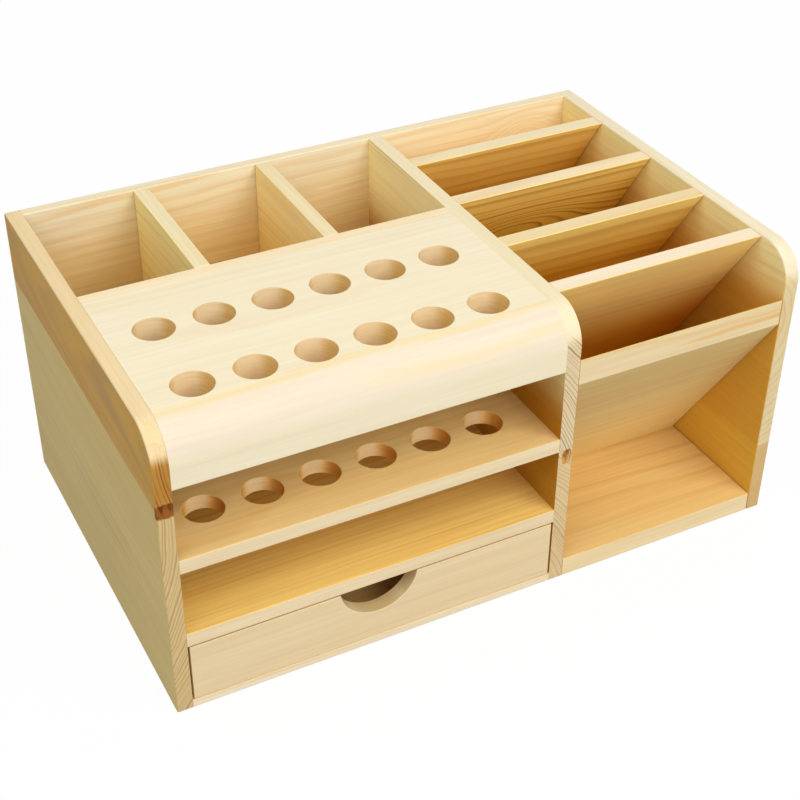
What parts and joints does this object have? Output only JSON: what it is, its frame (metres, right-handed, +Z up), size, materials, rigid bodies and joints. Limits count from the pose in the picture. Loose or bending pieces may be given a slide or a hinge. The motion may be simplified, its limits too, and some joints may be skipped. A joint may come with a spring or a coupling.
{
  "type": "pen stand with drawer",
  "caption": "Pine desk organizer with round pen holes over a holed shelf, open compartments, a rack of slanted boards over a bin and a sliding drawer with a half-moon finger cut.",
  "frame": {"origin": "centre of the base, on the surface that the stand rests on", "axes": "+X to the right seen from the front, +Y to the back, +Z up; the drawer opens towards -Y"},
  "size_m": [0.3614, 0.23, 0.171],
  "materials": {
    "side_panel_pine": "clear satin lacquer over planed pine",
    "back_panel_pine": "clear satin lacquer over planed pine",
    "top_pine": "clear satin lacquer over planed pine",
    "shelf_pine": "clear satin lacquer over planed pine",
    "divider_pine": "clear satin lacquer over planed pine",
    "drawer_pine": "clear satin lacquer over planed pine",
    "drawer_bottom_pine": "clear satin lacquer over planed pine",
    "slanted_pine": "clear satin lacquer over planed pine"
  },
  "bodies": {
    "stand": {"left_panel_lower": "side_panel_pine", "left_panel_upper": "side_panel_pine", "middle_panel_lower": "side_panel_pine", "middle_panel_upper": "side_panel_pine", "right_panel_lower": "side_panel_pine", "right_panel_upper": "side_panel_pine", "back_panel_lower": "back_panel_pine", "back_panel_upper": "back_panel_pine", "hole_board": "top_pine", "hole_shelf": "shelf_pine", "lower_shelf": "shelf_pine", "compartment_wall": "divider_pine", "compartment_divider_left": "divider_pine", "compartment_divider_right": "divider_pine", "drawer_bay_floor": "shelf_pine", "bin_floor": "shelf_pine", "sloping_front_board": "slanted_pine", "slot_divider_1": "slanted_pine", "slot_divider_2": "slanted_pine", "slot_divider_3": "slanted_pine", "slot_divider_4": "slanted_pine"},
    "drawer": {"drawer_front": "drawer_pine", "drawer_left_side": "drawer_pine", "drawer_right_side": "drawer_pine", "drawer_back": "drawer_pine", "drawer_bottom": "drawer_bottom_pine"}
  },
  "joints": [
    {"name": "drawer_slide", "type": "slide", "parent": "stand", "child": "drawer", "axis": [0, -1, 0], "range_m": [0, 0.15]}
  ]
}
